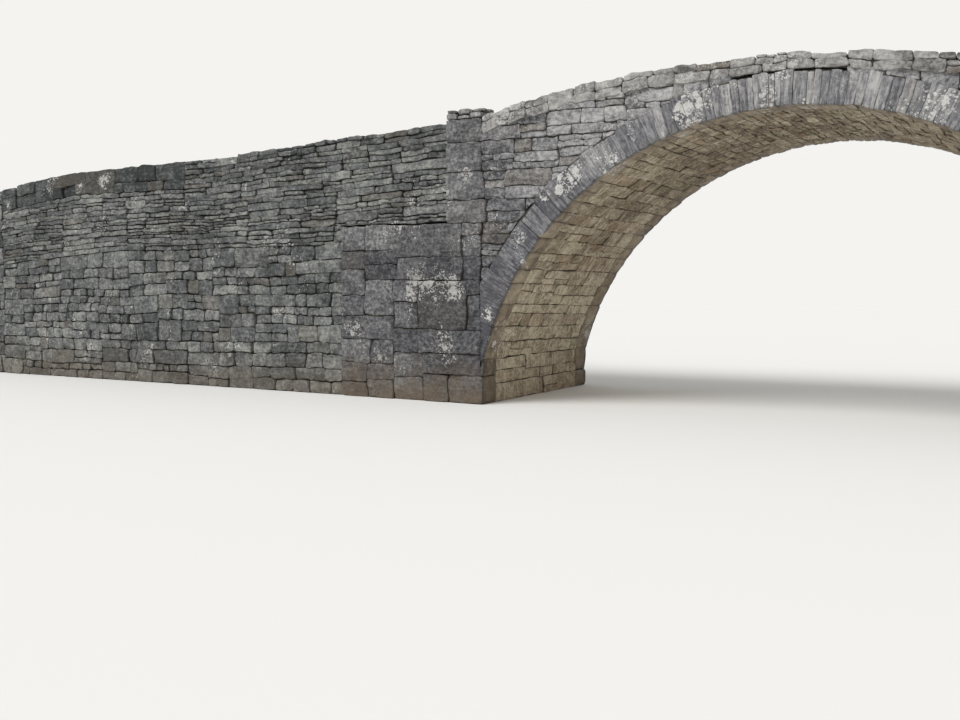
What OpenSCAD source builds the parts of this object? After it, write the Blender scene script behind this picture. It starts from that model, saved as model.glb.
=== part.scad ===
// A single-span stone arch bridge of dry-laid slate and rough ashlar.
// X runs along the road, Y across it, Z up. The origin is under the crown, at mid width,
// on the level where the lowest masonry stands.

/* [Arch] */
// Radius of the soffit
soffit_r = 4500; // [4400:50:4800]
// How much the clear span falls short of the full circle of the soffit
span_short = 300; // [260:20:800]
// Height of the jambs, from the base to the springing
jamb_h = 660; // [300:20:1200]
// Width of the bed in the quoin pier on which each half ring is seated
ring_seat = 40; // [20:5:80]
// Depth of the ring stones, from the soffit to the extrados
ring_depth = 450; // [420:10:560]
// Thickness of the barrel between the two rings
barrel_t = 400; // [300:10:410]
// Flats that the hidden back of the barrel is dressed in
back_flats = 60; // [40:2:90]
// Angle above the level where the haunch of the barrel ends and its crown begins
barrel_split = 50; // [35:1:65]

/* [Ring stones] */
// Ring stones in each half ring, without the keystone
voussoirs = 32; // [20:1:40]
// Thickness of the lowest ring stone, before all are scaled alike to fill the ring
first_voussoir = 560; // [300:10:600]
// Thickness of the ring stones beside the keystone, before the same scaling
last_voussoir = 85; // [70:5:200]
// How fast the stones thin out above the springing
voussoir_taper = 0.35; // [0.25:0.05:1]
// How much the thickness varies from stone to stone
voussoir_scatter = 0.22; // [0:0.02:0.3]
// Width of the keystone at the soffit
keystone_w = 150; // [100:10:220]

/* [Joints] */
// Width of the joint between two stones
joint_w = 12; // [6:1:18]
// Depth of the joints behind the face
joint_depth = 30; // [20:1:50]
// How much the faces of the stones vary
face_scatter = 18; // [0:1:19]

/* [Width] */
// Width of the bridge from face to face
bridge_w = 3800; // [3200:50:4800]
// Thickness of the face walls and the depth of the ring into the bridge
wall_t = 450; // [350:10:600]
// How far the wing walls stand back from the face of the bridge
wing_setback = 60; // [20:5:120]
// How far the ashlar base stands back from the face of the bridge
base_setback = 20; // [0:5:20]

/* [Top] */
// Radius of the hump of the road over the arch
hump_r = 16100; // [14000:100:24000]
// Place of the highest point of the road, from the crown of the arch
crest_x = -600; // [-700:50:700]
// Stones in each kerb, each one straight
kerb_stones = 12; // [8:2:16]
// Height of the kerb stones
kerb_h = 260; // [200:10:300]
// How deep the kerb is bedded over the crown of the ring
kerb_bed = 30; // [10:5:50]
// Length of the stretch over the crown where the kerb lies straight on the ring
saddle_len = 2300; // [2200:50:3200]
// How far the road lies below the top of the kerb
road_drop = 60; // [20:5:100]
// Thickness of the road paving
road_t = 150; // [120:10:160]

/* [Piers and wing walls] */
// Length of the abutments behind the jambs
abutment_len = 630; // [560:10:900]
// Courses in each quoin pier
pier_courses = 12; // [10:1:20]
// How much the height of the courses varies, as a share of a course
course_scatter = 0.3; // [0:0.05:0.35]
// How far the quoin piers rise above the end of the kerb
pier_rise = 150; // [60:10:200]
// Length of the ashlar base beyond the abutment
base_len = 1980; // [1200:20:3000]
// Height of the ashlar base
base_h = 2700; // [2000:20:3000]
// How far the wing walls rise above the line of the hump where they meet the bridge
wing_rise = 130; // [100:10:200]
// Where the wing walls run nearly level, from the abutment
level_from = 4900; // [3200:50:5400]
// Length of the nearly level stretch
level_len = 3100; // [1000:50:4000]
// How far the wing walls have come down where that stretch begins
level_fall = 270; // [100:10:400]
// How far the wing walls come down over that stretch
level_slope = 30; // [0:10:60]
// How far the wing walls come down beyond that stretch
end_fall = 290; // [50:10:350]
// Length of the wing walls
wing_len = 10820; // [9600:20:12000]
// Lifts in which the wing walls are laid, each brought to a bed
wing_lifts = 5; // [3:1:7]
// Width of the raked bed between two lifts
lift_bed = 30; // [10:5:50]
// Depth of the raked beds between the lifts
lift_depth = 60; // [20:5:90]
// How much the faces of the lifts vary
lift_scatter = 30; // [0:2:40]
// Thickness of the wall across each end
end_wall_t = 450; // [350:10:600]

/* [Hidden] */
$fn = 360;
face_y = bridge_w / 2;
core_y = face_y - wall_t;
wing_y = face_y - wing_setback;
fill_y = wing_y - wall_t;
base_y = face_y - base_setback;

jamb_x = soffit_r - span_short / 2;
centre_z = jamb_h - sqrt(soffit_r * soffit_r - jamb_x * jamb_x);
ring_r = soffit_r + ring_depth;
barrel_r = soffit_r + barrel_t;
pier_x = jamb_x + ring_seat;
abutment_x = jamb_x + abutment_len;
base_x = abutment_x + base_len;
end_x = abutment_x + wing_len;
fill_end_x = end_x - end_wall_t;

// The line of the hump, and beyond the piers the tops of the wing walls.
// side is -1 on the left and 1 on the right, and along counts from the abutment outward.
crest_z = centre_z + ring_r + kerb_h - kerb_bed;
function hump_z(x) = crest_z - hump_r + sqrt(hump_r * hump_r - (x - crest_x) * (x - crest_x));
function wing_z(side) = hump_z(side * abutment_x) + wing_rise;
function wing_line(side, drop) = [
    [abutment_x, wing_z(side) - drop],
    [abutment_x + level_from, wing_z(side) - level_fall - drop],
    [abutment_x + level_from + level_len, wing_z(side) - level_fall - level_slope - drop],
    [end_x, wing_end_z(side) - drop]
];
// The line up to a share of the height of the wing wall, moved up or down
function lift_line(side, share, shift) = [for (p = wing_line(side, 0)) [p[0], p[1] * share + shift]];
function wing_end_z(side) = wing_z(side) - level_fall - level_slope - end_fall;
kerb_xs = [for (i = [0 : kerb_stones]) pier_x * (2 * i / kerb_stones - 1)];
function pier_z(side) = hump_z(side * pier_x) + pier_rise;

// Angles of the ring joints, counted from the level of the arch centre
key_half_angle = asin(keystone_w / 2 / soffit_r);
joint_half_angle = asin(joint_w / 2 / ring_r);
springing_angle = asin((jamb_h - centre_z) / soffit_r);
key_angle = 90 - key_half_angle;
// A fixed irregular number from -1 to 1 for stone i of a ring
function vary(i, seed) = sin(i * 137.5 + seed) * cos(i * 61.3 - seed);
function voussoir_t(i, seed) =
    (first_voussoir + (last_voussoir - first_voussoir) * pow(i / (voussoirs - 1), voussoir_taper))
    * (1 + voussoir_scatter * vary(i, seed));
function ring_length(i, seed) = i == 0 ? 0 : ring_length(i - 1, seed) + voussoir_t(i - 1, seed);
function joint_angle(i, seed) = springing_angle
    + (key_angle - springing_angle) * ring_length(i, seed) / ring_length(voussoirs, seed);
// The ring of each face side has a scatter of its own
function ring_seed(near, side) = (near ? 65 : 20) + 45 * side;
// Corners of the hidden back of a ring, which is flat behind each stone
function stone_angles(right_seed, left_seed) = concat(
    [0], [for (i = [1 : voussoirs]) joint_angle(i, right_seed)],
    [for (i = [voussoirs : -1 : 1]) 180 - joint_angle(i, left_seed)], [180]
);
function face_angles(near) = stone_angles(ring_seed(near, 1), ring_seed(near, -1));
flat_angles = [for (i = [0 : back_flats]) 180 * i / back_flats];
// How far the face of stone i stands back, and the height of the bed under course i of a pier
function stone_back(i, seed) = face_scatter / 2 * (1 + vary(i + 7, seed));
function course_z(i, seed, height) =
    height * (i + (i == 0 || i == pier_courses ? 0 : course_scatter * vary(i, seed))) / pier_courses;

slate = "#8f8f8e";
pale_slate = "#a9a8a4";
dark_slate = "#6c6e6c";
buff_slate = "#8a7f6a";
rubble = "#7a766b";

// Extrudes an outline in the XZ plane from y0 to y1
module across(y0, y1) {
    translate([0, y1, 0]) rotate([90, 0, 0]) linear_extrude(y1 - y0) children();
}

// What is modelled on the right and far side, moved to the side asked for.
// near is true on the near face, and side is -1 on the left and 1 on the right.
module place(near, side) {
    mirror([side < 0 ? 1 : 0, 0, 0]) mirror([0, near ? 1 : 0, 0]) children();
}

// Outline of the back of the ring or barrel, flat between the corners at these angles
module arch_back(r, angles) {
    translate([0, centre_z]) polygon([for (angle = angles) r * [cos(angle), sin(angle)]]);
}

// Everything between the piers up to the hump, or to a line that far below it
module under_hump(depth) {
    polygon(concat(
        [[-abutment_x, 0], [-abutment_x, wing_z(-1) - depth]],
        [for (x = kerb_xs) [x, hump_z(x) - depth]],
        [[abutment_x, wing_z(1) - depth], [abutment_x, 0]]
    ));
}

// A stretch of the outline above the springing
module stretch(from_x, to_x) {
    translate([from_x, jamb_h]) square([to_x - from_x, crest_z]);
}

// Outline of an arch band between two angles, on a level bed at the springing, no wider than that
module band(r, angles, from_angle, to_angle, half_width) {
    reach = 2 * r;
    intersection() {
        difference() {
            arch_back(r, angles);
            translate([0, centre_z]) circle(soffit_r);
        }
        translate([0, centre_z]) polygon([
            [0, 0],
            [reach * cos(from_angle), reach * sin(from_angle)],
            [reach * cos(to_angle), reach * sin(to_angle)]
        ]);
        stretch(-half_width, half_width);
    }
}

module abutment(side) {
    color(buff_slate) place(false, side)
        across(-core_y, core_y) translate([jamb_x, 0]) square([abutment_len, jamb_h]);
}

// Half a ring: a core, and the face of each stone standing proud of the raked joints.
// The quoin pier closes the back of the lowest stones.
module half_ring(near, side) {
    seed = ring_seed(near, side);
    angles = stone_angles(seed, seed);
    color(slate) place(near, side) {
        across(core_y, face_y - joint_depth) band(ring_r, angles, 0, key_angle, pier_x);
        for (i = [0 : voussoirs - 1])
            across(core_y, face_y - stone_back(i, seed))
                band(ring_r, angles,
                    i == 0 ? 0 : joint_angle(i, seed) + joint_half_angle,
                    joint_angle(i + 1, seed) - joint_half_angle, pier_x);
    }
}

module keystone(near) {
    angles = face_angles(near);
    color(pale_slate) place(near, 1) {
        across(core_y, face_y - joint_depth) band(ring_r, angles, key_angle, 180 - key_angle, pier_x);
        across(core_y, face_y) band(ring_r, angles,
            key_angle + joint_half_angle, 180 - key_angle - joint_half_angle, pier_x);
    }
}

module barrel(from_angle, to_angle, side) {
    color(buff_slate) place(false, side)
        across(-core_y, core_y) band(barrel_r, flat_angles, from_angle, to_angle, barrel_r);
}

// Outline of a pier between two heights: it stands back above the springing, where the ring is seated
module pier_outline(bed, top) {
    difference() {
        translate([jamb_x, bed]) square([abutment_len, top - bed]);
        translate([jamb_x, jamb_h]) square([ring_seat, crest_z]);
    }
}

// A stack of squared blocks with raked beds between them
module quoin_pier(near, side, seed) {
    height = pier_z(side);
    color(slate) place(near, side) {
        across(core_y, face_y - joint_depth) pier_outline(0, height);
        for (i = [0 : pier_courses - 1]) {
            bed = i == 0 ? 0 : course_z(i, seed, height) + joint_w / 2;
            top = i == pier_courses - 1 ? height : course_z(i + 1, seed, height) - joint_w / 2;
            across(core_y, face_y - stone_back(i, seed)) pier_outline(bed, top);
        }
    }
}

module spandrel(near, side) {
    color(slate) place(near, 1) across(core_y, face_y) difference() {
        intersection() {
            stretch(side < 0 ? -pier_x : saddle_len / 2, side < 0 ? -saddle_len / 2 : pier_x);
            under_hump(kerb_h);
        }
        arch_back(ring_r, face_angles(near));
    }
}

// Outline of the kerb: a course of even height, which lies straight on the ring over the crown
module kerb_outline(near) {
    difference() {
        intersection() {
            stretch(-pier_x, pier_x);
            under_hump(0);
        }
        difference() {
            under_hump(kerb_h);
            stretch(-saddle_len / 2, saddle_len / 2);
        }
        arch_back(ring_r, face_angles(near));
    }
}

module kerb(near, seed) {
    color(pale_slate) place(near, 1) {
        across(core_y, face_y - joint_depth) kerb_outline(near);
        for (i = [0 : kerb_stones - 1])
            across(core_y, face_y - stone_back(i, seed)) intersection() {
                kerb_outline(near);
                stretch(kerb_xs[i] + (i == 0 ? 0 : joint_w / 2),
                    kerb_xs[i + 1] - (i == kerb_stones - 1 ? 0 : joint_w / 2));
            }
    }
}

module base_ashlar(near, side) {
    color(slate) place(near, side) across(fill_y, base_y)
        translate([abutment_x, 0]) square([base_len, base_h]);
}

// Outline of a wing wall between two shares of its height, around the ashlar base
module wing_lift(side, from_share, to_share, bed, top_bed) {
    difference() {
        polygon(concat(
            lift_line(side, to_share, -top_bed),
            [for (i = [3 : -1 : 0]) lift_line(side, from_share, bed)[i]]
        ));
        translate([abutment_x, 0]) square([base_len, base_h]);
    }
}

// A wall of thin slates with a core behind the raked beds between its lifts
module wing_wall(near, side, seed) {
    color(dark_slate) place(near, side) {
        across(fill_y, wing_y - lift_depth) wing_lift(side, 0, 1, 0, 0);
        for (i = [0 : wing_lifts - 1])
            across(fill_y, wing_y - lift_scatter / 2 * (1 + vary(i, seed)))
                wing_lift(side, i / wing_lifts, (i + 1) / wing_lifts,
                    i == 0 ? 0 : lift_bed / 2, i == wing_lifts - 1 ? 0 : lift_bed / 2);
    }
}

// What lies between the wing walls from one depth below their tops to another, or to the ground
module between_wings(side, drop, bottom_drop) {
    place(false, side) across(-fill_y, fill_y) polygon(concat(
        wing_line(side, drop),
        bottom_drop == undef
            ? [[end_x, 0], [abutment_x, 0]]
            : [for (i = [3 : -1 : 0]) wing_line(side, bottom_drop)[i]]
    ));
}

// The last stretch of that, where the end wall stands
module end_stretch(side) {
    place(false, side) translate([fill_end_x, -fill_y, 0]) cube([end_wall_t, 2 * fill_y, crest_z]);
}

module end_wall(side) {
    color(dark_slate) intersection() {
        between_wings(side, road_drop);
        end_stretch(side);
    }
}

module haunch_fill(side) {
    color(rubble) across(-core_y, core_y) difference() {
        intersection() {
            stretch(side < 0 ? -abutment_x : 0, side < 0 ? 0 : abutment_x);
            under_hump(road_drop + road_t);
        }
        arch_back(barrel_r, flat_angles);
    }
}

module approach_fill(side) {
    color(rubble) difference() {
        between_wings(side, road_drop + road_t);
        end_stretch(side);
    }
}

module approach_roadway(side) {
    color(pale_slate) difference() {
        between_wings(side, road_drop, road_drop + road_t);
        end_stretch(side);
    }
}

module crown_roadway() {
    color(pale_slate) across(-core_y, core_y) difference() {
        under_hump(road_drop);
        under_hump(road_drop + road_t);
    }
}

abutment(-1);  // left_abutment
abutment(1);  // right_abutment
half_ring(true, -1);  // near_left_ring
keystone(true);  // near_keystone
half_ring(true, 1);  // near_right_ring
half_ring(false, -1);  // far_left_ring
keystone(false);  // far_keystone
half_ring(false, 1);  // far_right_ring
barrel(0, barrel_split, -1);  // left_barrel_haunch
barrel(barrel_split, 180 - barrel_split, 1);  // barrel_crown
barrel(0, barrel_split, 1);  // right_barrel_haunch
quoin_pier(true, -1, 40);  // near_left_quoin_pier
quoin_pier(true, 1, 130);  // near_right_quoin_pier
quoin_pier(false, -1, 85);  // far_left_quoin_pier
quoin_pier(false, 1, 175);  // far_right_quoin_pier
spandrel(true, -1);  // near_left_spandrel
spandrel(true, 1);  // near_right_spandrel
spandrel(false, -1);  // far_left_spandrel
spandrel(false, 1);  // far_right_spandrel
kerb(true, 70);  // near_kerb
kerb(false, 160);  // far_kerb
base_ashlar(true, -1);  // near_left_base_ashlar
base_ashlar(true, 1);  // near_right_base_ashlar
base_ashlar(false, -1);  // far_left_base_ashlar
base_ashlar(false, 1);  // far_right_base_ashlar
wing_wall(true, -1, 25);  // near_left_wing_wall
wing_wall(true, 1, 115);  // near_right_wing_wall
wing_wall(false, -1, 70);  // far_left_wing_wall
wing_wall(false, 1, 160);  // far_right_wing_wall
end_wall(-1);  // left_end_wall
end_wall(1);  // right_end_wall
haunch_fill(-1);  // left_haunch_fill
haunch_fill(1);  // right_haunch_fill
approach_fill(-1);  // left_approach_fill
approach_fill(1);  // right_approach_fill
approach_roadway(-1);  // left_roadway
crown_roadway();
approach_roadway(1);  // right_roadway
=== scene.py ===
import math

import bpy
import numpy as np
from mathutils import Matrix, Vector


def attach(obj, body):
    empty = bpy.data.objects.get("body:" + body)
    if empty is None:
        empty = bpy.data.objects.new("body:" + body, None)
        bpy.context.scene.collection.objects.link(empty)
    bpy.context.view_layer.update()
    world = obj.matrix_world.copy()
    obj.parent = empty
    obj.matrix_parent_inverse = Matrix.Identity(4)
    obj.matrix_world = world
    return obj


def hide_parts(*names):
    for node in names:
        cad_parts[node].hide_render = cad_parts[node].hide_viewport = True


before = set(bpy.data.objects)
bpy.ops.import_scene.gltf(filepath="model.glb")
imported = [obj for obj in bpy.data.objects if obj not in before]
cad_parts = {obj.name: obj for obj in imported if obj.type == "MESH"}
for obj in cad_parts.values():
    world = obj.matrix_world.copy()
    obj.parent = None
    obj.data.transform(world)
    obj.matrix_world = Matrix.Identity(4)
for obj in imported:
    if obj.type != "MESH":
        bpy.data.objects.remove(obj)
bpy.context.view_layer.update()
print("scene: frame loaded")

# Sizes that the CAD part has too
bridge = {
    "soffitR": 4.5, "clearSpan": 8.7, "jambH": 0.66, "ringSeat": 0.04, "ringDepth": 0.45,
    "faceY": 1.9, "wallT": 0.45, "wingSetback": 0.06, "baseSetback": 0.02,
    "humpR": 16.1, "crestX": -0.6, "kerbH": 0.26, "kerbBed": 0.03, "roadDrop": 0.06,
    "abutmentLen": 0.63, "pierRise": 0.15, "baseLen": 1.98, "baseH": 2.7,
    "wingRise": 0.13, "levelFrom": 4.9, "levelLen": 3.1, "levelFall": 0.27, "levelSlope": 0.03,
    "endFall": 0.29, "wingLen": 10.82,
}
soffitR, jambH, baseH, wallT, faceY = (bridge[key] for key in ("soffitR", "jambH", "baseH", "wallT", "faceY"))
jambX = bridge["clearSpan"] / 2
centreZ = jambH - math.sqrt(soffitR ** 2 - jambX**2)
ringR = soffitR + bridge["ringDepth"]
pierX = jambX + bridge["ringSeat"]
abutmentX = jambX + bridge["abutmentLen"]
baseX = abutmentX + bridge["baseLen"]
endX = abutmentX + bridge["wingLen"]
coreY = faceY - wallT
wingY = faceY - bridge["wingSetback"]
wingHalf = wingY - wallT
baseY = faceY - bridge["baseSetback"]
crestZ = centreZ + ringR + bridge["kerbH"] - bridge["kerbBed"]
springing = math.asin((jambH - centreZ) / soffitR)
arcLen = soffitR * (math.pi - 2 * springing)
soffitLen = arcLen + 2 * jambH
# How far stones keep off the CAD faces beside them
seam = 0.004


def humpZ(x):
    return crestZ - bridge["humpR"] + np.sqrt(bridge["humpR"] ** 2 - (x - bridge["crestX"]) ** 2)


def wingTop(side, along):
    start = humpZ(side * abutmentX) + bridge["wingRise"]
    places = abutmentX + np.cumsum([0, bridge["levelFrom"], bridge["levelLen"]])
    drops = np.cumsum([0, bridge["levelFall"], bridge["levelSlope"], bridge["endFall"]])
    return start - np.interp(along, [*places, endX], drops)


def vary(i, seed):
    # Scatter from -1 to 1, the same as in the CAD part
    return math.sin(math.radians(i * 137.5 + seed)) * math.cos(math.radians(i * 61.3 - seed))


def lattice(points, seed):
    # A number from 0 to 1 for each whole point, mixed so that it looks random
    dots = points @ np.array((127.1, 311.7, 74.7)) + seed * 19.19
    return np.modf(np.abs(np.sin(dots) * 43758.5453))[0]


def noise(points, scale, seed=0):
    # Smooth value noise from -1 to 1, scale being the size of its cells in metres
    grid = np.pad(points, ((0, 0), (0, 3 - points.shape[1]))) / scale
    low = np.floor(grid)
    part = grid - low
    part = part * part * (3 - 2 * part)
    total = np.zeros(len(points))
    for corner in np.ndindex(2, 2, 2):
        weight = np.prod(np.where(corner, part, 1 - part), axis=1)
        total += weight * lattice(low + np.array(corner), seed)
    return total * 2 - 1


# How a wall is cut into cells, and how their outlines are moved and cleaned. A cell is
# (u0, u1, v0, v1) on the flat wall, u along it and v up it.
cuts = {
    "bedVary": (0.75, 1.6), "bedAt": (0.36, 0.64), "lengthVary": (0.7, 1.2), "jointAt": (0.34, 0.66),
    "leastRun": 0.6, "bedShift": 0.25, "leanSize": 0.32, "waveSize": 0.6, "waveStretch": (0.5, 1),
    "onEdge": 0.01, "leastSide": 0.02, "leastFill": 1.5,
}


def cutCell(cells, cell, rules, rng):
    u0, u1, v0, v1 = cell
    tall = v1 - v0
    wide = u1 - u0
    if tall > rules["bed"] * rng.uniform(*cuts["bedVary"]):
        v = v0 + tall * rng.uniform(*cuts["bedAt"])
        halves = [(u0, u1, v0, v), (u0, u1, v, v1)]
    elif (wide > rules["longest"] * rng.uniform(*cuts["lengthVary"])
          or wide > tall * rules["slender"] * rng.uniform(*cuts["lengthVary"])):
        u = u0 + wide * rng.uniform(*cuts["jointAt"])
        halves = [(u0, u, v0, v1), (u, u1, v0, v1)]
    else:
        cells.append(cell)
        return
    for half in halves:
        cutCell(cells, half, rules, rng)


def courses(levels, span, rules, rng):
    cells = []
    for low, high in zip(levels, levels[1:]):
        u = span[0]
        while u < span[1] - 1e-6:
            end = u + rng.uniform(*rules["run"])
            if span[1] - end < rules["run"][0] * cuts["leastRun"]:
                end = span[1]
            cutCell(cells, (u, end, low, high), rules, rng)
            u = end
    return cells


def levelsTo(height, step, rng, low=0.0):
    # Beds of courses about one step high, from low to height
    count = max(1, round((height - low) / step))
    inner = (np.arange(1, count) + rng.uniform(-cuts["bedShift"], cuts["bedShift"], count - 1)) / count
    return [low, *(low + (height - low) * inner), height]


def quad(cell):
    u0, u1, v0, v1 = cell
    return np.array([(u0, v0), (u1, v0), (u1, v1), (u0, v1)])


def mirrored(outline, side):
    # On the left u runs the other way, and so do the corners
    return outline * (side, 1) if side > 0 else (outline * (side, 1))[::-1]


def warped(points, seed, rules):
    # Joints lean and beds wave alike in neighbouring stones, because both ask the same noise
    lean = noise(points, cuts["leanSize"], seed) * rules["sway"]
    rise = noise(points * cuts["waveStretch"], cuts["waveSize"], seed + 5) * rules["wave"]
    return points + np.column_stack([lean, rise])


def waved(cell, seed, rules, box, stay=()):
    # A warped cell whose corners stay on the edges of a box and at some places along
    outline = quad(cell)
    u, v = outline.T
    low, high, bottom, top = np.array(box) + np.array((1, -1, 1, -1)) * cuts["onEdge"]
    fixed = (u < low) | (u > high) | (v < bottom) | (v > top) | np.isin(u, stay)
    return np.where(fixed[:, None], outline, warped(outline, seed, rules))


def clipped(outline, normal, limit):
    kept = []
    for here, there in zip(outline, np.roll(outline, -1, axis=0)):
        a = here @ normal - limit
        b = there @ normal - limit
        if a <= 0:
            kept.append(here)
        if a * b < 0:
            kept.append(here + (there - here) * a / (a - b))
    return np.array(kept).reshape(-1, 2)


def clipUnder(outline, curve, sign):
    # Cuts off what lies above the curve v = curve(u), or below it where sign is -1
    u = outline[:, 0].mean()
    slope = (curve(u + cuts["onEdge"]) - curve(u - cuts["onEdge"])) / (2 * cuts["onEdge"])
    return clipped(outline, np.array((-slope, 1.0)) * sign, sign * (curve(u) - slope * u))


def tidied(outline, smallest):
    # The outline without doubled corners, in a list, which is empty if it is only a sliver
    if len(outline) < 3:
        return []
    far = np.linalg.norm(outline - np.roll(outline, 1, axis=0), axis=1) > cuts["leastSide"]
    outline = outline[far]
    if len(outline) < 3 or np.ptp(outline, axis=0).min() < smallest:
        return []
    x, y = outline.T
    area = (x * np.roll(y, -1) - y * np.roll(x, -1)).sum() / 2
    return [] if area < smallest * smallest * cuts["leastFill"] else [outline]


def resampled(outline, count):
    # The corners stay, and the other points are spread over the sides by length
    sides = np.roll(outline, -1, axis=0) - outline
    lengths = np.linalg.norm(sides, axis=1)
    share = lengths / lengths.sum() * (count - len(outline))
    steps = np.floor(share).astype(int)
    rest = count - len(outline) - steps.sum()
    steps[np.argsort(steps - share)[:rest]] += 1
    parts = []
    for corner, side, step in zip(outline, sides, steps):
        parts.append(corner + side * np.arange(step + 1)[:, None] / (step + 1))
    return np.concatenate(parts)


# How outlines become blocks: shares and ranges that all stones have in common
dress = {
    "gapVary": ((0.0, 0.2), (0.7, 1.2)), "leastShrink": 0.6, "waverSize": 0.09, "knockVary": (0.2, 1.0),
    "chipVary": (0.3, 1.0), "wornVary": (0.7, 2.4), "edgeMost": 0.45, "breaks": 3, "breakFrom": (0.1, 0.9),
    "faceRings": (0.5, 0.9), "rimInner": 0.25, "rimSide": 0.6, "rimBack": 0.3,
    "lumps": ((0.2, 1.0), (0.07, 0.5)), "lumpWays": (0.6, 0.6, 1.0), "patternShift": 50,
}


def shaped(outlines, rules, rng):
    # Shrinks each outline by half a joint, knocks its corners off and spreads its points
    made = []
    for outline in outlines:
        centre = (outline.min(0) + outline.max(0)) / 2
        half = np.ptp(outline, axis=0) / 2
        gap = rules["gap"] * rng.uniform(*dress["gapVary"])
        outline = centre + (outline - centre) * np.maximum(1 - gap / half, dress["leastShrink"])
        points = resampled(outline, rules["points"])
        corner = (points[:, None] == outline[None]).all(2).any(1)
        # Neighbours ask the same noise, so that their edges waver together
        waver = [noise(points, dress["waverSize"], seed) for seed in (3, 4)]
        points = points + np.column_stack(waver) * rules["waver"]
        knock = rules["knock"] * rng.uniform(*dress["knockVary"], len(points)) * corner
        toward = centre - points
        toward /= np.linalg.norm(toward, axis=1)[:, None]
        made.append(points + toward * knock[:, None])
    return np.array(made)


def blocks(outlines, depth, rules, rng, closed, stands, tones):
    # Turns outlines into rounded irregular blocks. w counts inward from the face of the wall.
    count, points = outlines.shape[:2]
    low = outlines.min(1, keepdims=True)
    high = outlines.max(1, keepdims=True)
    centre = (low + high) / 2
    half = (high - low) / 2
    chips = rng.uniform(*dress["chipVary"], (count, points, 1))
    chips = chips * rng.uniform(*dress["wornVary"], (count, 1, 1))
    edge = np.minimum(rules["round"] * chips, half.min(2, keepdims=True) * dress["edgeMost"])
    stand = rng.uniform(0, rules["stand"], (count, 1)) + np.reshape(stands, (-1, 1))
    tilt = rng.uniform(-1, 1, (count, 1, 2)) * rules["tilt"]
    inner = centre + (outlines - centre) * (1 - edge / half)
    breaks = []
    for _ in range(dress["breaks"]):
        way = rng.uniform(0, 2 * math.pi, (count, 1))
        line = np.stack([np.cos(way), np.sin(way)], 2)
        start = rng.uniform(*dress["breakFrom"], (count, 1))
        breaks.append((line, start, rules["break"] * rng.uniform(0, 1, (count, 1)) ** 2))

    def hewn(flat, bulge):
        # A tilted plane, from which up to three corners are broken away
        local = (flat - centre) / half
        deep = stand + (local * tilt).sum(2) + rules["tilt"] - bulge
        for line, start, slope in breaks:
            deep = deep + slope * np.maximum((local * line).sum(2) - start, 0)
        return np.minimum(deep, rules["deepest"])

    # Rings of points from the middle of the face out to its edge and back: place, depth and rim
    layers = []
    for share in dress["faceRings"]:
        within = centre + (inner - centre) * share
        layers.append((within, hewn(within, rules["bulge"] * (1 - share**2)), 0.0))
    start = hewn(outlines, 0.0) + edge[..., 0]
    layers += [(inner, hewn(inner, 0.0), dress["rimInner"]), (outlines, start, 1.0)]
    steps = rules.get("layers", 1)
    back = depth - rules["round"] * closed
    for step in range(1, steps + 1):
        layers.append((outlines, start + (back - start) * step / steps, dress["rimSide"] if closed else 1.0))
    if closed:
        end = np.full((count, points), depth)
        middle = centre + (inner - centre) * dress["faceRings"][0]
        layers += [(inner, end, dress["rimBack"]), (middle, end, 0.0)]
    rings = len(layers)
    flat, deep = (np.stack([layer[k] for layer in layers], 1) for k in (0, 1))
    body = np.concatenate([flat, deep[..., None]], 3).reshape(count, rings * points, 3)
    front = (stand + rules["tilt"] - rules["bulge"])[..., None]
    parts = [np.concatenate([centre, front], 2), body]
    rims = [0.0, *np.repeat([layer[2] for layer in layers], points)]
    if closed:
        parts.append(np.concatenate([centre, np.full((count, 1, 1), depth)], 2))
        rims.append(0.0)
    local = np.concatenate(parts, 1)
    size = local.shape[1]
    around = np.arange(points)
    following = (around + 1) % points
    tris = [np.column_stack([np.zeros(points, int), 1 + around, 1 + following])]
    quads = []
    for here in 1 + np.arange(rings - 1) * points:
        there = here + points
        quads.append(np.column_stack([here + around, there + around, there + following, here + following]))
    if closed:
        last = 1 + (rings - 1) * points
        tris.append(np.column_stack([last + around, np.full(points, size - 1), last + following]))
    first = np.arange(count)[:, None, None] * size
    owner = np.repeat(np.arange(count), size)
    shift = rng.uniform(-dress["patternShift"], dress["patternShift"], (count, 3))[owner]
    local = local.reshape(-1, 3)
    for scale, share in dress["lumps"]:
        moves = np.column_stack([noise(local + shift, scale, 11 + axis) for axis in range(3)])
        local = local + moves * (np.array(dress["lumpWays"]) * rules["rough"] * share)
    local[:, 2] = np.maximum(local[:, 2], 0.0)
    draws = rng.uniform(0, 1, (count, 2))
    draws[:, 0] += tones
    return {
        "local": local,
        "tris": (np.concatenate(tris) + first).reshape(-1, 3),
        "quads": (np.concatenate(quads) + first).reshape(-1, 4),
        "info": np.column_stack([draws[owner], np.zeros(len(owner)), np.tile(rims, count)]),
        "grain": local + shift,
        "first": points,
        "slot": 0,
    }


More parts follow.
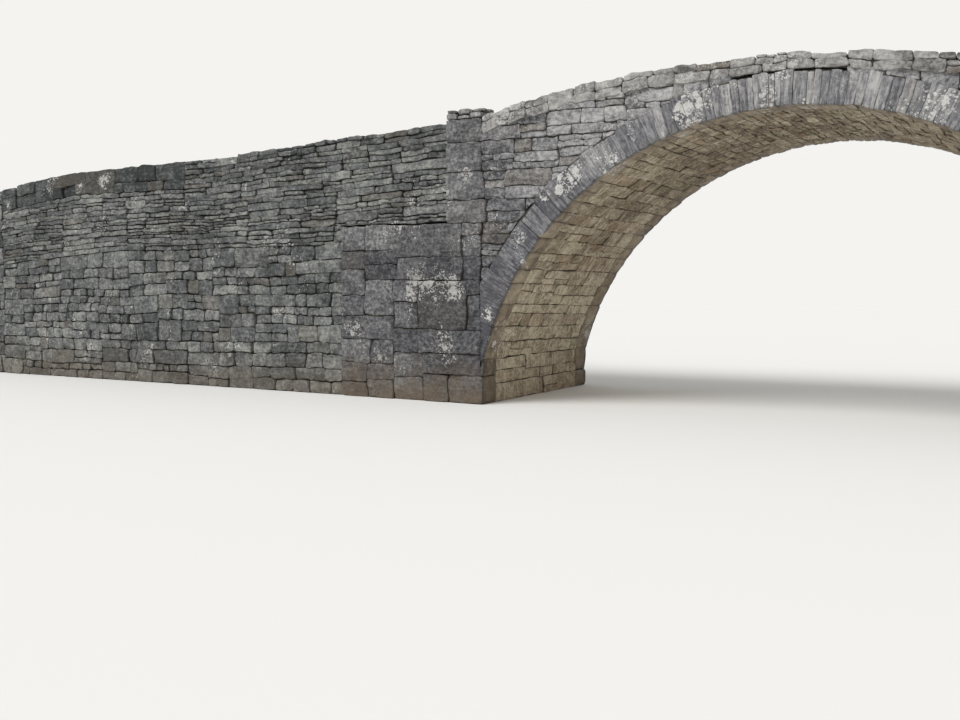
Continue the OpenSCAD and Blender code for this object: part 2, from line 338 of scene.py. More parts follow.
def coreOf(ends, bottom, top, front, back, margin, step=0.25):
    # The dark core behind the stones: a closed strip whose bottom and top are levels or curves
    thin = 0.001
    us = np.linspace(ends[0] + margin, ends[1] - margin, max(2, int(abs(ends[1] - ends[0]) / step)))
    low, high = (np.array([v(u) if callable(v) else v for u in us], float) for v in (bottom, top))
    low = low + margin * (low[0] > thin)
    high = np.maximum(high - margin, low + thin)
    n = len(us)
    sheets = [(low, front), (high, front), (high, back), (low, back)]
    local = np.concatenate([np.column_stack([us, v, np.full(n, w)]) for v, w in sheets])
    quads = [np.array([[0, n, 2 * n, 3 * n], [n - 1, 4 * n - 1, 3 * n - 1, 2 * n - 1]])]
    for k in (3, 2, 1, 0):
        here = k * n + np.arange(n - 1)
        there = (k + 1) % 4 * n + np.arange(n - 1)
        quads.insert(0, np.column_stack([here, here + 1, there + 1, there]))
    return {
        "local": local,
        "tris": np.zeros((0, 3), int),
        "quads": np.concatenate(quads),
        "info": np.tile((0.5, 0.5, 0.0, 0.0), (len(local), 1)),
        "grain": local,
        "first": 0,
        "slot": 1,
    }


# Each place turns (u, v, w) on a flat wall into a point of the bridge
def wallPlace(near, y):
    return lambda p: np.column_stack([p[:, 0], (p[:, 2] - y) * (1 if near else -1), p[:, 1]])


def endPlace(side):
    return lambda p: np.column_stack([side * (endX - p[:, 2]), p[:, 0], p[:, 1]])


def ringPlace(near, side):
    # u is the angle from the level of the arch centre and v the radius
    def place(p):
        bed = np.arcsin(np.clip((jambH + seam - centreZ) / p[:, 1], -1, 1))
        angle = np.maximum(p[:, 0], bed)
        radius = np.minimum(p[:, 1], (pierX - seam) / np.maximum(np.cos(angle), 0.01))
        y = (p[:, 2] - faceY) * (1 if near else -1)
        return np.column_stack([side * radius * np.cos(angle), y, centreZ + radius * np.sin(angle)])

    return place


def soffitPlace(p):
    # u is Y, and v runs up the left jamb, over the arch and down the right jamb
    v = p[:, 1]
    angle = math.pi - springing - np.clip(v - jambH, 0, arcLen) / soffitR
    radius = soffitR + p[:, 2]
    left = v < jambH
    right = v > jambH + arcLen
    x = np.where(left, -jambX - p[:, 2], np.where(right, jambX + p[:, 2], radius * np.cos(angle)))
    z = np.where(left, v, np.where(right, soffitLen - v, centreZ + radius * np.sin(angle)))
    return np.column_stack([x, p[:, 0], z])


def roadZ(x):
    side = np.where(x < 0, -1.0, 1.0)
    along = np.abs(x)
    ends = humpZ(side * pierX)
    ramp = ends + (wingTop(side, abutmentX) - ends) * (along - pierX) / (abutmentX - pierX)
    hump = humpZ(np.clip(x, -pierX, pierX))
    top = np.where(along < pierX, hump, np.where(along < abutmentX, ramp, wingTop(side, along)))
    return top - bridge["roadDrop"]


def roadPlace(p):
    return np.column_stack([p[:, 0], p[:, 1], roadZ(p[:, 0]) - p[:, 2]])


pieces = {}


def lay(piece, part, place):
    # Keeps a part for its piece, with its faces turned outward
    limit = np.array((endX, faceY, crestZ))
    points = np.clip(place(part["local"]), -limit * (1, 1, 0), limit)
    outward = place(part["local"] - (0, 0, 0.01)) - place(part["local"])
    tris = part["tris"]
    quads = part["quads"]
    probe = tris[: part["first"]] if part["first"] else quads[:1, :3]
    a, b, c = (points[probe[:, k]] for k in range(3))
    if (np.cross(b - a, c - a) * outward[probe[:, 0]]).sum() < 0:
        tris = tris[:, ::-1]
        quads = quads[:, ::-1]
    pieces.setdefault(piece, []).append({**part, "points": points, "tris": tris, "quads": quads})


def layCore(piece, ends, bottom, top, rules, place, side=1):
    # rules["core"] holds the front, back and margin of a core, and at a bend the length of its steps
    lay(piece, coreOf(sorted(side * end for end in ends), bottom, top, *rules["core"]), place)


def layStones(piece, outlines, rules, rng, place, closed=False, under=None, stands=0.0, tones=0.0):
    # Closed stones have a back of their own and reach through the wall
    if not len(outlines):
        return
    depth = rules.get("deep", wallT) if closed else rules["depth"]
    part = blocks(shaped(outlines, rules, rng), depth, rules, rng, closed, stands, tones)
    if under is not None:
        part["info"][:, 2] = under(part["local"])
    lay(piece, part, place)


sideWord = {-1: "left", 1: "right"}
faceWord = {True: "near", False: "far"}
corners = [(near, side) for near in faceWord for side in sideWord]


def nameOf(near, side, part):
    return f"{faceWord[near]}_{sideWord[side]}_{part}"


# The ring of slabs that stand on edge, each one seen in the face and in the soffit.
# Angles at the foot and the core are in radians, and "under" is what is seen from below.
ring = {
    "voussoirs": 32, "first": 0.56, "last": 0.085, "taper": 0.35, "scatter": 0.22, "keystoneW": 0.15,
    "ragged": 0.05, "sunk": 0.06, "footScatter": 0.008, "keyFoot": 0.002, "keyBack": 0.006,
    "underTo": 0.05, "underFade": 0.04, "underIn": 0.025,
    # The tone shifts by angle are painted light: the slabs are darker at the foot and paler toward the crown,
    # where the light is brighter
    "paintedLightAt": (0.44, 0.7, 0.95, 1.2, 1.5), "tones": (-1.1, -0.3, -0.6, -0.1, 0.15),
    "points": 24, "layers": 4, "gap": 0.003, "waver": 0.007, "knock": 0.01, "round": 0.004, "stand": 0.014,
    "tilt": 0.004, "bulge": 0.002, "break": 0.012, "deepest": 0.025, "rough": 0.009,
    "coreFrom": 0.26, "coreIn": 0.022, "coreOut": 0.03, "core": (0.034, 0.44, 0.0, 0.02),
}
keyHalf = math.asin(ring["keystoneW"] / 2 / soffitR)


def jointAngles(near, side):
    seed = (65 if near else 20) + 45 * side
    n = ring["voussoirs"]
    grow = (np.arange(n) / (n - 1)) ** ring["taper"]
    widths = ring["first"] + (ring["last"] - ring["first"]) * grow
    widths = widths * np.array([1 + ring["scatter"] * vary(i, seed) for i in range(n)])
    total = np.concatenate([[0], np.cumsum(widths)]) / widths.sum()
    return springing + (math.pi / 2 - keyHalf - springing) * total


def layRing(piece, place, outlines, rng, tones=0.0):
    # Ring outlines are drawn with lengths along the back of the ring
    inRing = lambda p: place(p * (1 / ringR, 1, 1))
    edge = soffitR + ring["underTo"]
    under = lambda p: np.clip((edge - p[:, 1]) / ring["underFade"], 0, 1) * (p[:, 2] > ring["underIn"])
    layStones(piece, outlines, ring, rng, inRing, True, under, tones=tones)


def ringStones(near, side):
    rng = np.random.default_rng(31 + side + 5 * near)
    angles = jointAngles(near, side)
    angles[0] -= ring["sunk"]
    outlines = []
    for low, high in zip(angles, angles[1:]):
        back = ringR - seam - rng.uniform(0, ring["ragged"])
        foot = soffitR + rng.uniform(0, ring["footScatter"])
        outlines.append(quad((low * ringR, high * ringR, foot, back)))
    place = ringPlace(near, side)
    # Painted light: each slab's tone follows its angle, paler toward the crown
    tones = np.interp([o[:, 0].mean() / ringR for o in outlines], ring["paintedLightAt"], ring["tones"])
    piece = nameOf(near, side, "ring")
    layRing(piece, place, outlines, rng, tones)
    inside = soffitR + ring["coreIn"]
    layCore(piece, (ring["coreFrom"], math.pi / 2), inside, ringR - ring["coreOut"], ring, place)


def keystone(near):
    rng = np.random.default_rng(77 + near)
    low, high = ((math.pi / 2 + way * keyHalf) * ringR for way in (-1, 1))
    outline = quad((low, high, soffitR + ring["keyFoot"], ringR - ring["keyBack"]))
    layRing(f"{faceWord[near]}_keystone", ringPlace(near, 1), [outline], rng)


for near, side in corners:
    if side < 0:
        keystone(near)
    ringStones(near, side)
print("scene: rings laid")

# The kerb: long stones of even height that follow the hump, seen from the top too
kerb = {
    "stones": 12, "saddle": 0.75, "level": 0.004, "ragged": 0.045, "coreDrop": 0.1,
    "run": (0.5, 0.8), "bed": 0.17, "longest": 0.66, "slender": 5.0,
    "points": 20, "layers": 4, "gap": 0.005, "waver": 0.016, "knock": 0.02, "round": 0.006, "stand": 0.016,
    "tilt": 0.008, "bulge": 0.001, "break": 0.04, "deepest": 0.035, "rough": 0.018,
    "core": (0.05, 0.42, 0.02),
}


def ringTop(u):
    return centreZ + math.sqrt(ringR**2 - min(abs(u), pierX) ** 2)


def kerbBottom(u):
    # The kerb lies on the back of the ring over the crown, and on the spandrel beyond
    return max(float(humpZ(u)) - bridge["kerbH"], ringTop(u) if abs(u) < kerb["saddle"] else 0)


def kerbStones(near):
    rng = np.random.default_rng(12 + near)
    xs = pierX * (2 * np.arange(kerb["stones"] + 1) / kerb["stones"] - 1)
    outlines = []
    full = bridge["kerbH"]
    for span in zip(xs, xs[1:]):
        for cell in courses([0.0, full], span, kerb, rng):
            drop = rng.uniform(kerb["level"], kerb["ragged"])
            outline = []
            for u, v in quad(cell):
                bottom = kerbBottom(u)
                outline.append((u, bottom + (humpZ(u) - bottom) * v / full - drop * (v == full)))
            outlines.append(np.array(outline))
    place = wallPlace(near, faceY)
    piece = f"{faceWord[near]}_kerb"
    layStones(piece, outlines, kerb, rng, place, True)
    layCore(piece, (-pierX, pierX), kerbBottom, lambda u: humpZ(u) - kerb["coreDrop"], kerb, place)


for near in faceWord:
    kerbStones(near)
print("scene: kerbs laid")

# The face between ring, kerb and abutment: squared pier blocks that bond into thinner beds.
# Tones are pairs of places and shifts, along from the crown or up from the ground. The shifts along from the
# crown are painted light, paler near the crown where the light is brighter.
faceWall = {
    "courses": 12, "scatter": 0.3, "bond": 0.3, "bondKeep": 0.3, "bondIn": (0.2, 1.0), "bondOut": (0.1, 0.38),
    "bondWays": (-0.4, 1.0), "bondBelow": 0.03, "jambBed": 0.15, "splitFrom": 0.62, "splitKeep": 0.22,
    "splitShare": 0.4, "cutFrom": 0.5, "least": 0.05, "leastBed": 0.04,
    "run": (0.6, 1.7), "bed": 0.21, "longest": 0.9, "slender": 5.5, "sway": 0.025, "wave": 0.022,
    "topBeds": (0.14, 0.26), "bedsFrom": 1.2, "rowReach": 0.7, "topReach": 0.9,
    "under": 0.045, "over": 0.036, "setback": 0.014, "wedge": 0.17, "wedgeIn": 0.05, "wedgeRun": (0.25, 0.5),
    "wedgeLeast": 0.15, "underReach": 0.02, "underTop": 1.2, "underIn": 0.07,
    "points": 22, "gap": 0.006, "waver": 0.014, "knock": 0.018, "round": 0.006, "stand": 0.02,
    "tilt": 0.01, "bulge": 0.001, "break": 0.045, "deepest": 0.042, "rough": 0.017,
    "depth": 0.12, "core": (0.07, 0.44, 0.0),
    "lowTones": ((1.8, 2.8), (-0.5, 0.0)),
    "paintedCrownLight": ((1.5, 2.6, 3.3, 4.2), (0.45, 0.35, 0.0, -0.3)),
    "footTones": ((2.4, 3.0), (-0.5, 0.0)),
}
pierBlocks = {**faceWall, "points": 28, "layers": 3, "gap": 0.005, "stand": 0.018, "break": 0.04,
              "rough": 0.015, "core": (0.055, 0.42, 0.03)}
# Small pale rubble on the head of the pier, a few stones deep
capStones = {**faceWall, "rows": 3, "deep": 0.15, "height": 0.185, "top": 0.01, "ragged": 0.05, "tone": 1.0,
             "run": (0.12, 0.28), "bed": 0.11, "longest": 1.0, "slender": 9.0, "points": 14, "gap": 0.01,
             "waver": 0.01, "round": 0.012}
pierSeeds = {(True, -1): 40, (True, 1): 130, (False, -1): 85, (False, 1): 175}
# Near left, where they are seen: the courses of the pier, each with the inner end of its block
seenCourses = [
    (1.62, 1.84, 4.39), (1.84, 2.19, 4.39), (2.19, 2.5, 4.39), (2.5, 2.68, 4.39), (2.68, 3.02, 4.3),
    (3.02, 3.43, 4.35), (3.43, 3.86, 4.38), (3.86, 4.2, 4.39),
]
# Its blocks below the ledge, and those of the base: along from the crown and up
seenBlocks = [
    (4.39, 4.7, 2.5, 2.68), (4.39, 4.72, 2.19, 2.5), (4.72, 5.88, 2.19, 2.68), (5.88, 6.48, 2.3, 2.69),
    (6.48, 6.96, 2.3, 2.68), (5.88, 6.5, 2.08, 2.3), (6.5, 6.96, 2.0, 2.3), (4.39, 4.7, 1.84, 2.19),
    (4.7, 5.3, 1.84, 2.19), (5.3, 5.88, 1.84, 2.19), (5.88, 6.5, 1.84, 2.08), (4.39, 4.64, 1.62, 1.84),
    (4.39, 4.62, 1.09, 1.62), (4.64, 5.5, 1.09, 1.84), (5.5, 5.95, 1.5, 1.84), (6.5, 6.96, 1.6, 2.0),
    (5.95, 6.5, 1.28, 1.84), (5.5, 5.95, 1.1, 1.5), (6.5, 6.96, 1.28, 1.6), (5.95, 6.96, 0.92, 1.28),
    (4.39, 5.48, 0.74, 1.09), (5.48, 5.95, 0.74, 1.1), (5.95, 6.4, 0.55, 0.92), (6.4, 6.96, 0.55, 0.92),
    (4.35, 5.4, 0.42, 0.74), (5.4, 5.95, 0.36, 0.74), (4.95, 5.4, 0.0, 0.42), (4.35, 4.95, 0.0, 0.42),
    (5.4, 5.95, 0.0, 0.36), (5.95, 6.45, 0.3, 0.55), (6.45, 6.96, 0.24, 0.55), (5.95, 6.45, 0.0, 0.3),
    (6.45, 6.96, 0.0, 0.24),
]


def ringBack(z):
    # How far the back of the ring is from the crown at a height
    return math.sqrt(max(ringR**2 - (z - centreZ) ** 2, 0))


def ringLine(u):
    # The spandrel reaches in behind the ragged ends of the ring, and under the kerb
    return ringTop(u) - faceWall["under"]


def kerbLine(u):
    return kerbBottom(max(min(u, pierX), -pierX)) + faceWall["over"]


def pierHeight(side):
    return float(humpZ(side * pierX)) + bridge["pierRise"]


def pierCourses(near, side, rng):
    # Low, high and inner end of each course
    if near and side < 0:
        return seenCourses
    height = pierHeight(side)
    n = faceWall["courses"]
    shift = [faceWall["scatter"] * vary(i, pierSeeds[(near, side)]) for i in range(1, n)]
    levels = [0.0, *(height * (i + 1 + shift[i]) / n for i in range(n - 1)), height - capStones["height"]]
    made = []
    for low, high in zip(levels, levels[1:]):
        reach = max(0.0, min(faceWall["bond"], pierX - ringBack((low + high) / 2) - faceWall["bondKeep"]))
        reach *= high < kerbBottom(side * pierX)
        jamb = high < jambH + faceWall["jambBed"]
        made.append((low, high, jambX if jamb else pierX - reach * rng.uniform(*faceWall["bondIn"])))
    return made


def bonded(rows, near, side):
    # Below the ledge a block of the pier ends short of the abutment or runs on into the base
    rng = np.random.default_rng(900 + 3 * side + near)
    joints = {}
    for low, high, inner in rows:
        if high < baseH - faceWall["bondBelow"]:
            reach = rng.uniform(*faceWall["bondOut"]) * rng.choice(faceWall["bondWays"])
            joints[low] = (high, abutmentX + reach)
    return joints


def faceCells(near, side, start, rng):
    # The blocks of the pier, and the beds of the spandrel that they bond into
    seen = near and side < 0
    rows = pierCourses(near, side, rng)
    joints = bonded(rows, near, side)
    quoins = []
    infill = []
    for low, high, inner in rows:
        outer = joints[low][1] if low in joints else abutmentX
        cells = [(inner, outer, low, high)]
        if outer - inner > faceWall["splitFrom"] and rng.uniform() < faceWall["splitShare"]:
            joint = rng.uniform(inner + faceWall["splitKeep"], outer - faceWall["splitKeep"])
            cells = [(inner, joint, low, high), (joint, outer, low, high)]
        if not (seen and high < baseH):
            quoins += cells
        ringX = ringBack((low + high) / 2)
        if ringX < inner - faceWall["underReach"] and low < kerbLine(side * faceWall["bedsFrom"]):
            infill += courses([low, high], (max(start, ringX - faceWall["rowReach"]), inner), faceWall, rng)
    # Over the height of the pier the courses of the spandrel go on to the kerb
    low = rows[-1][1]
    while low < kerbLine(side * start):
        high = low + rng.uniform(*faceWall["topBeds"])
        inner = max(start, ringBack(low) - faceWall["topReach"])
        infill += courses([low, high], (inner, pierX), faceWall, rng)
        low = high
    if seen:
        quoins += [cell for cell in seenBlocks if cell[0] < abutmentX]
    return quoins, infill


def pierStones(near, side, cells, rng, place):
    outlines = []
    for cell in cells:
        outline = mirrored(quad(cell), side)
        if cell[2] > jambH + faceWall["cutFrom"] and cell[0] < pierX:
            outline = clipUnder(outline, ringLine, -1)
        outlines += tidied(outline, faceWall["least"])

    def jamb(p):
        low = (np.abs(p[:, 0]) < pierX + faceWall["underReach"]) * (p[:, 1] < faceWall["underTop"])
        return low * (p[:, 2] > faceWall["underIn"])

    piece = nameOf(near, side, "quoin_pier")
    tones = np.interp([o[:, 1].mean() for o in outlines], *faceWall["lowTones"])
    layStones(piece, outlines, pierBlocks, rng, place, True, jamb, tones=tones)
    height = pierHeight(side)
    bottom = height - capStones["height"]
    level = height - capStones["top"]
    for row in range(capStones["rows"]):
        outlines = []
        for u0, u1, v0, v1 in courses([bottom, level], (pierX, abutmentX), capStones, rng):
            top = v1 - rng.uniform(0, capStones["ragged"]) * (v1 == level)
            outlines.append(mirrored(quad((u0, u1, v0, top)), side))
        behind = lambda p, row=row: place(p + (0, 0, row * capStones["deep"]))
        layStones(piece, outlines, capStones, rng, behind, True, tones=capStones["tone"])


def spandrelStones(near, side, cells, start, rng, place):
    outlines = []
    for cell in cells:
        outline = mirrored(warped(quad(cell), pierSeeds[(near, side)], faceWall), side)
        outline = clipUnder(outline, ringLine, -1)
        if len(outline) > 2:
            outline = clipUnder(outline, kerbLine, 1)
        outlines += tidied(outline, faceWall["leastBed"])
    # Thin stones fill the wedge that ring and kerb leave beside the crown
    u = kerb["saddle"] - faceWall["wedgeIn"]
    while u < start:
        end = u + rng.uniform(*faceWall["wedgeRun"])
        end = start if start - end < faceWall["wedgeLeast"] else end
        tops = [(end, kerbLine(side * end)), (u, kerbLine(side * u))]
        outlines.append(mirrored(np.array([(u, ringLine(u)), (end, ringLine(end)), *tops]), side))
        u = end
    middles = np.array([o.mean(0) for o in outlines])
    # Painted light: the beds are paler the nearer they lie to the crown
    tones = np.interp(np.abs(middles[:, 0]), *faceWall["paintedCrownLight"])
    tones = tones + np.interp(middles[:, 1], *faceWall["footTones"])
    behind = lambda p: place(p + (0, 0, faceWall["setback"]))
    layStones(nameOf(near, side, "spandrel"), outlines, faceWall, rng, behind, tones=tones)


for near, side in corners:
    rng = np.random.default_rng(200 + 7 * side + near)
    place = wallPlace(near, faceY)
    start = kerb["saddle"]
    while kerbBottom(side * start) - ringTop(start) < faceWall["wedge"]:
        start += 0.02
    quoins, infill = faceCells(near, side, start, rng)
    pierStones(near, side, quoins, rng, place)
    spandrelStones(near, side, infill, start, rng, place)
    spandrel = nameOf(near, side, "spandrel")
    layCore(spandrel, (kerb["saddle"], pierX), ringTop, kerbBottom, faceWall, place, side)
    pierTop = pierHeight(side) - capStones["height"]
    layCore(nameOf(near, side, "quoin_pier"), (jambX, abutmentX), 0.0, pierTop, pierBlocks, place, side)
print("scene: piers and spandrels laid")

# The squared base of each approach, of the biggest blocks
base = {
    "run": (0.9, 1.98), "bed": 0.46, "longest": 0.95, "slender": 2.8, "sway": 0.015, "wave": 0.012,
    "points": 28, "gap": 0.005, "waver": 0.013, "knock": 0.014, "round": 0.006, "stand": 0.02,
    "tilt": 0.01, "bulge": 0.001, "break": 0.045, "deepest": 0.045, "rough": 0.018,
    "depth": 0.16, "topGap": 0.01, "bondReach": 0.4, "core": (0.068, 0.44, 0.02),
}


def baseAshlar(near, side):
    rng = np.random.default_rng(300 + 3 * side + near)
    if near and side < 0:
        cells = [cell for cell in seenBlocks if cell[0] > abutmentX]
    else:
        joints = bonded(pierCourses(near, side, rng), near, side)
        last = max(high for high, joint in joints.values())
        joints[last] = (baseH - base["topGap"], abutmentX)
        cells = []
        for low, (high, joint) in joints.items():
            cells += courses([low, high], (joint, baseX), base, rng)
    outlines = []
    for cell in cells:
        stay = cell[:1] if cell[0] <= abutmentX + base["bondReach"] else ()
        outline = waved(cell, 40 + side, base, (-endX, baseX, 0, crestZ), stay)
        outline[:, 1] = np.clip(outline[:, 1], 0, baseH)
        outlines.append(mirrored(outline, side))
    piece = nameOf(near, side, "base_ashlar")
    place = wallPlace(near, baseY)
    tones = np.interp([o[:, 1].mean() for o in outlines], *faceWall["lowTones"])
    layStones(piece, outlines, base, rng, place, tones=tones)
    layCore(piece, (abutmentX, baseX), 0.0, baseH, base, place, side)


for near, side in corners:
    baseAshlar(near, side)

# The wing walls: thin dark beds above, squarer blocks low down, and big blocks along the far top.
# They are laid out on a flat wall of one height, which is then fitted to the fall of their tops.
wing = {
    "height": 4.0, "lifts": 5, "blockyLifts": 3, "liftScatter": 0.03, "liftShare": 0.6,
    "topFrom": 10.4, "topH": 0.5, "copeH": 0.17, "quoinStep": 0.34, "quoins": (0.32, 0.45), "overBase": 0.03,
    "run": (0.8, 2.2), "bed": 0.125, "longest": 1.1, "slender": 9.5, "sway": 0.04, "wave": 0.04,
    "ragged": 0.045, "raggedMost": 0.3, "topGap": 0.003, "least": 0.03, "tone": 0.15,
    "points": 17, "gap": 0.008, "waver": 0.014, "knock": 0.02, "round": 0.007, "stand": 0.038,
    "tilt": 0.01, "bulge": 0.001, "break": 0.035, "deepest": 0.065, "rough": 0.018,
    "depth": 0.12, "coreDrop": 0.12, "coreEnd": 0.05, "core": (0.085, 0.42, 0.01),
}
lowWing = {**wing, "bed": 0.3, "longest": 0.75, "slender": 2.8, "stand": 0.03, "tone": 0.0}
topWing = {**wing, "bed": 0.4, "longest": 1.1, "slender": 2.8, "layers": 3, "points": 20, "tone": -0.9}
copeWing = {**wing, "bed": 0.14, "longest": 0.8, "slender": 6.0, "layers": 3, "points": 16, "tone": 0.0}
quoinWing = {**topWing, "tone": -0.2}
wingSeeds = {(True, -1): 25, (True, 1): 115, (False, -1): 70, (False, 1): 160}


def splitAtBase(cell, rules, side):
    # Beside the base a stone ends at its corner, and stones above it run on
    u0, u1, v0, v1 = cell
    over = v0 / wing["height"] * wingTop(side, baseX) > baseH - wing["overBase"]
    if over or not u0 < baseX < u1:
        return [(cell, rules)]
    return [((u0, baseX, v0, v1), rules), ((baseX, u1, v0, v1), rules)]


def wingCells(side, rng):
    full = wing["height"]
    top = full - wing["topH"]
    cope = full - wing["copeH"]
    shortQuoin, longQuoin = wing["quoins"]
    inner = endX - longQuoin
    # Each lift is brought to a bed, as in the CAD part
    zones = []
    for lift in range(wing["lifts"]):
        low, high = (full * (lift + k) / wing["lifts"] for k in (0, 1))
        behindBase = high / full * wingTop(side, baseX) < baseH
        rules = lowWing if lift < wing["blockyLifts"] else wing
        zones.append(((low, min(high, top)), (baseX if behindBase else abutmentX, inner), rules))
    zones.append(((top, full), (wing["topFrom"], inner), topWing))
    zones.append(((top, cope), (abutmentX, wing["topFrom"]), wing))
    zones.append(((cope, full), (abutmentX, wing["topFrom"]), copeWing))
    cells = []
    for levels, span, rules in zones:
        cells += [(cell, rules) for cell in courses(levels, span, rules, rng)]
    quoins = levelsTo(full, wing["quoinStep"], rng)
    for row, (low, high) in enumerate(zip(quoins, quoins[1:])):
        joint = endX - (longQuoin if row % 2 else shortQuoin)
        cells.append(((joint, endX, low, high), quoinWing))
        if joint > inner:
            cells.append(((inner, joint, low, high), copeWing))
    return [part for cell, rules in cells for part in splitAtBase(cell, rules, side)]


def wingWall(near, side):
    rng = np.random.default_rng(400 + 3 * side + near)
    place = wallPlace(near, wingY)
    full = wing["height"]
    lifts = wing["lifts"]
    stand = [wing["liftScatter"] / 2 * (1 + vary(i, wingSeeds[(near, side)])) for i in range(lifts)]
    groups = {}
    for cell, rules in wingCells(side, rng):
        outline = waved(cell, 50 + side + 9 * near, wing, (abutmentX, endX, 0, 2 * full), (baseX,))
        outline[:, 1] *= wingTop(side, outline[:, 0]) / full
        if cell[0] < baseX:
            outline = clipped(outline, np.array((0.0, -1.0)), -baseH - seam)
            if len(outline) < 3:
                continue
        ragged = min(rng.uniform(0, wing["ragged"]), (cell[3] - cell[2]) * wing["raggedMost"])
        top = wingTop(side, outline[:, 0]) - wing["topGap"] - (cell[3] == full) * ragged
        outline[:, 1] = np.minimum(outline[:, 1], top)
        deep = cell[3] == full or cell[1] > endX - cuts["onEdge"]
        lift = min(int((cell[2] + cell[3]) / 2 / full * lifts), lifts - 1)
        group = groups.setdefault((id(rules), deep), (rules, deep, [], []))
        for outline in tidied(mirrored(outline, side), wing["least"]):
            group[2].append(outline)
            group[3].append(stand[lift])
    piece = nameOf(near, side, "wing_wall")
    for rules, deep, outlines, stands in groups.values():
        stands = np.array(stands) * wing["liftShare"]
        layStones(piece, outlines, rules, rng, place, deep, None, stands, rules["tone"])
    top = lambda u: float(wingTop(side, abs(u))) - wing["coreDrop"]
    layCore(piece, (abutmentX, baseX), baseH, top, wing, place, side)
    layCore(piece, (baseX, endX - wing["coreEnd"]), 0.0, top, wing, place, side)


for near, side in corners:
    wingWall(near, side)
print("scene: wing walls laid")

endWall = {**wing, "bed": 0.2, "longest": 0.7, "slender": 3.4, "layers": 2, "points": 16, "step": 0.34,
           "sway": 0.02, "wave": 0.02, "topGap": 0.002, "core": (0.07, 0.44, 0.02)}


def endStones(side):
    rng = np.random.default_rng(500 + side)
    place = endPlace(side)
    piece = f"{sideWord[side]}_end_wall"
    height = float(wingTop(side, endX)) - bridge["roadDrop"]
    levels = levelsTo(height - endWall["topGap"], endWall["step"], rng)
    low, high = (courses(part, (-wingHalf, wingHalf), endWall, rng) for part in (levels[:-1], levels[-2:]))
    for cells, deep in ((low, False), (high, True)):
        outlines = [waved(cell, 60, endWall, (-wingHalf, wingHalf, 0, height)) for cell in cells]
        layStones(piece, outlines, endWall, rng, place, deep)
    layCore(piece, (-wingHalf, wingHalf), 0.0, height, endWall, place)


for side in sideWord:
    endStones(side)

# The soffit and jambs: the joints of the two rings run on across it, thick low down, thin above.
# Its tones go by the distance from the nearer foot, and haunchTo is an angle in degrees.
soffit = {
    "jambStep": 0.33, "haunchTo": 50, "run": (0.9, 2.9), "bed": 0.3, "longest": 0.95, "slender": 7.0,
    "sway": 0.03, "wave": 0.01, "points": 18, "gap": 0.005, "waver": 0.01, "knock": 0.014, "round": 0.005,
    "stand": 0.018, "tilt": 0.006, "bulge": 0.001, "break": 0.02, "deepest": 0.032, "rough": 0.012,
    "depth": 0.1, "tones": ((0, 1.5, 3, 4.5, 6.3), (0.9, 0.6, 0.05, -0.3, -0.1)),
    "coreIn": 0.045, "coreStep": 0.1, "coreDepth": 0.3, "jambGap": 0.01,
}


def soffitStones():
    rng = np.random.default_rng(600)
    jamb = levelsTo(jambH, soffit["jambStep"], rng)
    ends = []
    for near in faceWord:
        left, right = ((jointAngles(near, side) - springing) * soffitR for side in sideWord)
        far = soffitLen - np.array(jamb[::-1])
        ends.append([*jamb, *(jambH + left[1:]), *(soffitLen - jambH - right[:0:-1]), *far])
    atNear, atFar = map(np.array, ends)
    levels = list((atNear + atFar) / 2)
    lean = lambda u, v: np.interp(v, levels, (atFar - atNear) / 2) * u / coreY
    cells = courses(levels, (-coreY, coreY), soffit, rng)
    haunch = jambH + soffitR * (math.radians(soffit["haunchTo"]) - springing)
    bounds = [0, jambH, haunch, soffitLen - haunch, soffitLen - jambH, soffitLen]
    names = ["left_abutment", "left_barrel_haunch", "barrel_crown", "right_barrel_haunch", "right_abutment"]
    for name, low, high in zip(names, bounds, bounds[1:]):
        outlines = []
        for cell in cells:
            if low <= (cell[2] + cell[3]) / 2 < high:
                outline = waved(cell, 70, soffit, (-coreY, coreY, 0, soffitLen))
                outline[:, 1] += lean(*quad(cell).T)
                outlines.append(outline)
        middles = np.array([o[:, 1].mean() for o in outlines])
        tones = np.interp(np.minimum(middles, soffitLen - middles), *soffit["tones"])
        layStones(name, outlines, soffit, rng, soffitPlace, tones=tones)
        inAbutment = name.endswith("abutment")
        thick = bridge["abutmentLen"] - soffit["jambGap"] if inAbutment else soffit["coreDepth"]
        shell = coreOf((low, high), -coreY, coreY, soffit["coreIn"], thick, 0.0, soffit["coreStep"])
        shell["local"] = shell["local"][:, (1, 0, 2)]
        shell["grain"] = shell["local"]
        lay(name, shell, soffitPlace)


soffitStones()
print("scene: soffit laid")

# The road over the bridge: worn slabs with earth in their joints
road = {
    "step": 0.42, "run": (0.8, 2.9), "bed": 0.6, "longest": 0.62, "slender": 2.0, "sway": 0.05, "wave": 0.05,
    "points": 12, "gap": 0.015, "waver": 0.012, "knock": 0.035, "round": 0.008, "stand": 0.012,
    "tilt": 0.005, "bulge": 0.002, "break": 0.012, "deepest": 0.018, "rough": 0.008,
    "depth": 0.07, "core": (0.022, 0.14, 0.0),
}


def roadSlabs(name, low, high, half):
    rng = np.random.default_rng(700 + len(name))
    levels = levelsTo(high, road["step"], rng, low)
    cells = [(v0, v1, u0, u1) for u0, u1, v0, v1 in courses(levels, (-half, half), road, rng)]
    outlines = [waved(cell, 80, road, (low, high, -half, half)) for cell in cells]
    layStones(name, outlines, road, rng, roadPlace)
    layCore(name, (low, high), -half, half, road, roadPlace)


fillEnd = endX - wallT
roadSlabs("left_roadway", -fillEnd, -abutmentX, wingHalf)
roadSlabs("crown_roadway", -abutmentX, abutmentX, coreY)
roadSlabs("right_roadway", abutmentX, fillEnd, wingHalf)
print("scene: road laid")


# Materials
def linear(code):
    # A hex colour as seen on the screen, turned into linear light
    parts = [int(code[k : k + 2], 16) / 255 for k in (1, 3, 5)]
    parts = [c / 12.92 if c <= 0.04045 else ((c + 0.055) / 1.055) ** 2.4 for c in parts]
    return (*parts, 1.0)


